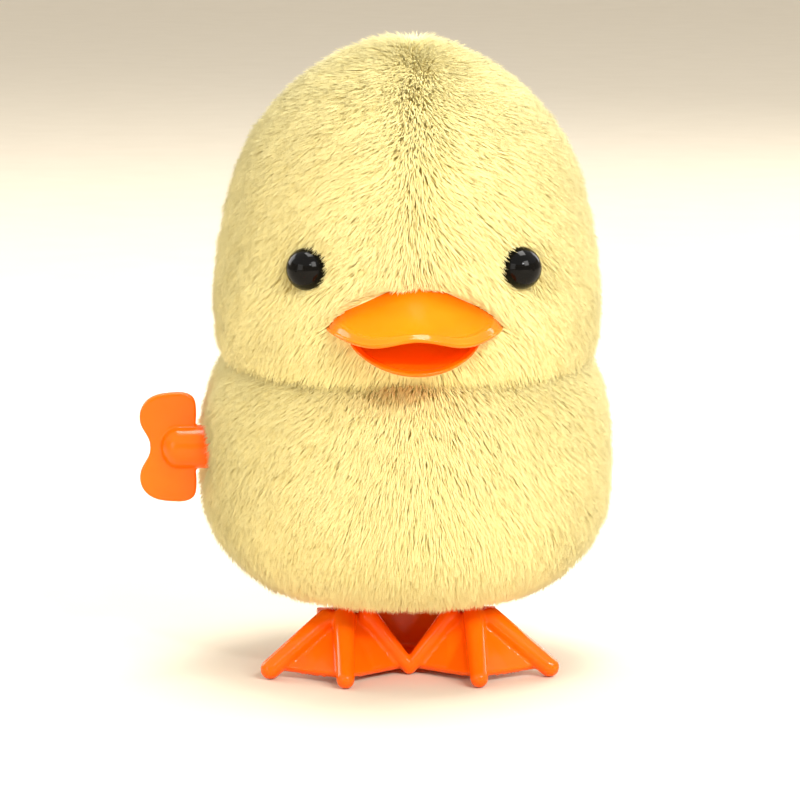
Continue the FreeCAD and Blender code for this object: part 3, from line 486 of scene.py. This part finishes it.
def grow(form, kind, seed):
    rng = np.random.default_rng(seed)
    c = form.base
    area = (np.linalg.norm(np.diff(c, axis=0), axis=1) * (c[:-1, 0] + c[1:, 0]) / 2).sum() * 2 * math.pi
    cnt = int(area * DENSITY)
    p, n = form.sample(cnt, rng)
    seeds = rng.random((cnt, 5))
    t = comb(p, n, kind)
    q = shape(p, n, kind)
    tuft = noise(p, 1.3)
    L = 3.25 * (0.86 + 0.28 * seeds[:, 4]) * (1 + 0.10 * tuft)
    side = unit(np.cross(t, n))
    t = unit(t + side * (0.22 * noise(p + 11.0, 1.5))[:, None])
    keep, t, L, lift = clearings(p, n, t, L, kind)
    if kind == "head":
        lift = lift - 0.10 * smoothstep(70, 84, p[:, 2])
    lift = np.clip(lift + 0.10 * noise(p + 5.0, 1.7), -0.25, 0.75)
    tint = np.clip(0.5 + 0.3 * tuft + 0.6 * (seeds[:, 0] - 0.5), 0, 1)
    return [a[keep] for a in (q, n, t, L, lift, seeds, tint)]


def panels(kind, form, seed, split, names):
    data = grow(form, kind, seed)
    mask = split(data[0])
    made = []
    for which, nm in ((mask, names[0]), (~mask, names[1])):
        part = [a[which] for a in data]
        q = part[0]
        # neighbouring strands stay together, from bottom to top
        order = np.argsort(q[:, 2] if kind == "head" else q[:, 2], kind="stable")
        k = max(1, math.ceil(len(q) / PANEL))
        for i, idx in enumerate(np.array_split(order, k)):
            sub = [a[idx] for a in part]
            o = strands(f"{nm}_pile_{i + 1}", sub[0], sub[1], sub[2], sub[3], sub[4], sub[5], None, nm, sub[6])
            made.append((nm, o))
    return made


def backing(name, form, kind, select, cad_node):
    """The sewn fabric under the pile, as a thin closed shell."""
    c = form.base
    step = np.concatenate([[0], np.cumsum(np.linalg.norm(np.diff(c, axis=0), axis=1))])
    s = np.linspace(0, step[-1], 70)
    prof = np.stack([np.interp(s, step, c[:, 0]), np.interp(s, step, c[:, 1])], 1)
    tang = unit(np.gradient(prof, axis=0))
    m = 144
    phi = np.arange(m) * 2 * math.pi / m
    P = np.stack([prof[:, None, 0] * np.cos(phi), prof[:, None, 0] * np.sin(phi) + form.cy, np.repeat(prof[:, 1:2], m, 1)], 2)
    N = np.stack([tang[:, None, 1] * np.cos(phi), tang[:, None, 1] * np.sin(phi), np.repeat(-tang[:, 0:1], m, 1)], 2)
    V = shape(P.reshape(-1, 3), N.reshape(-1, 3), kind)
    faces = []
    for i in range(len(prof) - 1):
        for j in range(m):
            k = (j + 1) % m
            q = (i * m + j, i * m + k, (i + 1) * m + k, (i + 1) * m + j)
            centre = V[list(q)].mean(0)
            if select(centre):
                faces.append(q)
    used = sorted({i for f in faces for i in f})
    remap = {u: i for i, u in enumerate(used)}
    o = mesh_object(name, V[used], [[remap[i] for i in f] for f in faces])
    bm = bmesh.new()
    bm.from_mesh(o.data)
    bmesh.ops.remove_doubles(bm, verts=bm.verts, dist=2e-5)
    bmesh.ops.recalc_face_normals(bm, faces=bm.faces)
    bm.to_mesh(o.data)
    bm.free()
    sol = o.modifiers.new("thick", "SOLIDIFY")
    sol.thickness = 0.0006
    sol.offset = -1.0
    apply_mods(o)
    o.data.materials.clear()
    o.data.materials.append(BACK)
    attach(o, "toy_body")
    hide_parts(cad_node)
    return o


def outside(form, p, pad):
    return math.hypot(p[0], p[1] - form.cy) > float(form.radius(p[2])) + pad or not (form.base[:, 1].min() < p[2] < form.base[:, 1].max())


def head_ok(p):
    return outside(BF, p, -1.2)


def body_ok(p):
    key = p[0] < 0 and math.hypot(p[1] - KEY_Y, p[2] - KEY_Z) < 3.3
    return outside(HF, p, -1.2) and not key and math.hypot(p[0], p[1] - 0.2) > OPEN_R - 0.4


backing("plush_head_left_backing", HF, "head", lambda p: head_ok(p) and p[0] > 0, "plush_head_left")
backing("plush_head_right_backing", HF, "head", lambda p: head_ok(p) and p[0] <= 0, "plush_head_right")
backing("plush_body_front_backing", BF, "body", lambda p: body_ok(p) and p[1] < -2, "plush_body_front")
backing("plush_body_back_backing", BF, "body", lambda p: body_ok(p) and p[1] >= -2, "plush_body_back")
panels("head", HF, SEED, lambda q: q[:, 0] > 0, ("plush_head_left", "plush_head_right"))
panels("body", BF, SEED + 1, lambda q: q[:, 1] < -2, ("plush_body_front", "plush_body_back"))

# ---------------------------------------------------------------- hard pieces, remade with softened edges
def softened(name, cad_node, voxel_mm, rounds, mat, body, relax=0.5):
    """A new piece of the CAD node's shape whose corners and joins are rounded over, as a moulding's are."""
    src = frame["nodes"][cad_node]
    o = bpy.data.objects.new(name, src.data.copy())
    bpy.context.scene.collection.objects.link(o)
    for a in list(o.data.attributes):
        if a.name.startswith("custom_normal") or a.name == "sharp_face":
            o.data.attributes.remove(a)
    m = o.modifiers.new("voxels", "REMESH")
    m.mode = "VOXEL"
    m.voxel_size = voxel_mm * MM
    m.use_smooth_shade = True
    s = o.modifiers.new("relax", "SMOOTH")
    s.factor, s.iterations = relax, rounds
    apply_mods(o)
    o.data.polygons.foreach_set("use_smooth", [True] * len(o.data.polygons))
    o.data.materials.clear()
    o.data.materials.append(mat)
    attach(o, body)
    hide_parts(cad_node)
    return o


softened("feet_moulding", "feet", 0.24, 5, ORANGE, "feet_set")
softened("winding_key_moulding", "winding_key", 0.18, 4, ORANGE, "key_set")


def half_disc(name, top, bottom, half, root, tip, edge, mat, cad_node):
    """A closed moulding over a half disc: x = half * X, y from root to tip by T, heights from top(X, T, rho) and bottom(...)."""
    nr, na = 46, 97
    rho = 1 - (1 - np.linspace(0, 1, nr)) ** 1.6
    ang = np.linspace(0, math.pi, na)
    R, A = np.meshgrid(rho, ang, indexing="ij")
    X, T = R * np.cos(A), R * np.sin(A)
    x, y = half * X, root + (tip - root) * T
    zt, zb = top(X, T, R), bottom(X, T, R)
    vt = np.stack([x, y, zt], 2).reshape(-1, 3)
    vb = np.stack([x, y, zb], 2).reshape(-1, 3)
    verts = [*vt, *vb]
    nt_ = nr * na
    faces = []
    for i in range(nr - 1):
        for j in range(na - 1):
            a0, a1, a2, a3 = i * na + j, i * na + j + 1, (i + 1) * na + j + 1, (i + 1) * na + j
            faces.append((a0, a3, a2, a1))
            faces.append((nt_ + a0, nt_ + a1, nt_ + a2, nt_ + a3))
    # rounded lip
    last = (nr - 1) * na
    prev = [last + j for j in range(na)]
    steps = 5
    out = np.stack([np.cos(ang) * abs(tip - root), -np.sin(ang) * half, np.zeros(na)], 1)
    out = unit(out)
    for k in range(1, steps):
        th = math.pi * k / steps
        ring = []
        for j in range(na):
            mid = (zt[-1, j] + zb[-1, j]) / 2
            h = (zt[-1, j] - zb[-1, j]) / 2
            q = np.array([x[-1, j], y[-1, j], mid + h * math.cos(th)]) + out[j] * edge * math.sin(th)
            ring.append(len(verts))
            verts.append(q)
        for j in range(na - 1):
            faces.append((prev[j], ring[j], ring[j + 1], prev[j + 1]))
        prev = ring
    for j in range(na - 1):
        faces.append((prev[j], nt_ + last + j, nt_ + last + j + 1, prev[j + 1]))
    # back face, in the plane of the root
    for j0, rev in ((0, False), (na - 1, True)):
        for i in range(nr - 1):
            q = (i * na + j0, (i + 1) * na + j0, nt_ + (i + 1) * na + j0, nt_ + i * na + j0)
            faces.append(q if rev else q[::-1])
    o = mesh_object(name, np.array(verts), faces)
    bm = bmesh.new()
    bm.from_mesh(o.data)
    bmesh.ops.remove_doubles(bm, verts=bm.verts, dist=2e-6)
    bmesh.ops.holes_fill(bm, edges=[e for e in bm.edges if len(e.link_faces) == 1], sides=0)
    bmesh.ops.recalc_face_normals(bm, faces=bm.faces)
    bm.to_mesh(o.data)
    bm.free()
    o.data.polygons.foreach_set("use_smooth", [True] * len(o.data.polygons))
    o.data.materials.append(mat)
    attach(o, "toy_body")
    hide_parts(cad_node)
    return o


def lip(X):
    """Height of the upper bill's lip: up at the corners, dipping on each side of the middle."""
    return 49.75 - 1.0 * np.sin(math.pi * X / 1.12) ** 2 + 0.25 * X ** 6


def upper_top(X, T, R):
    u2 = np.clip(X ** 2 / np.maximum(1 - T ** 2, 1e-6), 0, 1)
    rise = 8.0 * (1 - T) ** 1.35 * (1 - u2) ** 0.8
    roll = 0.34 * np.exp(-((1 - R - 0.045) / 0.035) ** 2) * smoothstep(0.1, 0.5, T)
    return lip(X) + 0.45 + 0.25 * np.sqrt(np.clip(1 - R ** 2, 0, 1)) + rise + roll


def upper_bottom(X, T, R):
    return lip(X) - 0.05 - 0.35 * np.sqrt(np.clip(1 - R ** 2, 0, 1))


def rim(X, T):
    return 48.9 - 3.6 * np.clip(T, 0, 1) ** 1.45


def lower_top(X, T, R):
    throat = 2.6 * np.exp(-(T / 0.42) ** 2) * np.clip(1 - R ** 2, 0, 1)
    return rim(X, T) - 1.0 * np.clip(1 - R ** 2, 0, 1) ** 0.7 + 0.12 * np.exp(-((1 - R - 0.05) / 0.035) ** 2) + throat


def lower_bottom(X, T, R):
    return rim(X, T) - 0.5 - 2.0 * np.clip(1 - R ** 2, 0, 1) ** 0.75


half_disc("bill_upper", upper_top, upper_bottom, 11.6, -22.7, -36.2, 0.28, BILL, "beak_upper")
half_disc("bill_lower", lower_top, lower_bottom, 8.7, -22.7, -33.5, 0.22, MOUTH_SHADED, "beak_lower")

# ---------------------------------------------------------------- stage, light, camera
def bowl(name, flat, radius, around=96):
    """A round sheet lying flat under the object and curving up all the way round, far from it."""
    prof = [(0.0, 0.0), (flat * 0.5, 0.0), (flat, 0.0)]
    for k in range(1, 19):
        a = math.radians(85 * k / 18)
        prof.append((flat + radius * math.sin(a), radius * (1 - math.cos(a))))
    verts, faces = [(0.0, 0.0, 0.0)], []
    for r, z in prof[1:]:
        verts += [(r * math.cos(2 * math.pi * j / around), r * math.sin(2 * math.pi * j / around), z) for j in range(around)]
    for j in range(around):
        faces.append((0, 1 + j, 1 + (j + 1) % around))
    for i in range(len(prof) - 2):
        for j in range(around):
            a0, a1 = 1 + i * around + j, 1 + i * around + (j + 1) % around
            faces.append((a0, a0 + around, a1 + around, a1))
    return mesh_object(name, verts, faces)


floor = bowl("floor", 1700.0, 1500.0)
fm, nt, b = material("floor_paper")
co = nt.nodes.new("ShaderNodeTexCoord")
fn = node(nt, "ShaderNodeTexNoise", Scale=60.0, Detail=4.0)
nt.links.new(co.outputs["Object"], fn.inputs["Vector"])
nt.links.new(ramp(nt, fn.outputs["Fac"], [(0.2, (0.70, 0.625, 0.50)), (0.8, (0.73, 0.655, 0.53))]), b.inputs["Base Color"])
b.inputs["Roughness"].default_value = 0.8
floor.data.materials.append(fm)

w = bpy.data.worlds.new("studio")
bpy.context.scene.world = w
w.use_nodes = True
w.node_tree.nodes["Background"].inputs["Color"].default_value = (1.0, 0.98, 0.95, 1)
w.node_tree.nodes["Background"].inputs["Strength"].default_value = 0.9


def area_light(name, where, at, size, power, color=(1, 1, 1)):
    l = bpy.data.lights.new(name, "AREA")
    l.shape, l.size, l.size_y, l.energy, l.color = "RECTANGLE", size[0], size[1], power, color
    o = bpy.data.objects.new(name, l)
    bpy.context.scene.collection.objects.link(o)
    o.location = where
    o.rotation_mode = "QUATERNION"
    o.rotation_quaternion = (Vector(at) - Vector(where)).to_track_quat("-Z", "Y")
    return o


area_light("key_light", (0.42, -0.62, 0.48), (0, 0, 0.05), (0.34, 0.34), 4.4, (1.0, 0.98, 0.95))
area_light("catch_light", (0.16, -0.62, 0.42), (0, 0, 0.05), (0.04, 0.04), 1.7, (1.0, 1.0, 1.0))
area_light("fill_light", (-0.55, -0.60, 0.25), (0, 0, 0.05), (0.40, 0.40), 1.3, (1.0, 0.98, 0.94))
area_light("rear_left_light", (0.50, 0.62, 0.40), (0, 0, 0.05), (0.45, 0.45), 3.0, (1.0, 0.98, 0.95))
area_light("rear_right_light", (-0.62, 0.45, 0.40), (0, 0, 0.05), (0.45, 0.45), 3.0, (1.0, 0.98, 0.95))
area_light("back_light", (0.08, 0.04, 0.86), (0, 0, 0.06), (0.45, 0.35), 6.5, (1.0, 0.98, 0.94))

cam = bpy.data.cameras.new("camera")
camo = bpy.data.objects.new("camera", cam)
bpy.context.scene.collection.objects.link(camo)
az, el, dist = math.radians(-2.5), math.radians(8.0), 0.62
target = Vector((-0.0009, 0.0, 0.03706))
back = Vector((math.sin(az) * math.cos(el), -math.cos(az) * math.cos(el), math.sin(el)))
camo.location = target + back * dist
camo.rotation_mode = "QUATERNION"
camo.rotation_quaternion = (-back).to_track_quat("-Z", "Y")
cam.sensor_width = 36.0
cam.lens = 36.0 * dist / 0.1111
cam.clip_start, cam.clip_end = 0.02, 50
bpy.context.scene.camera = camo
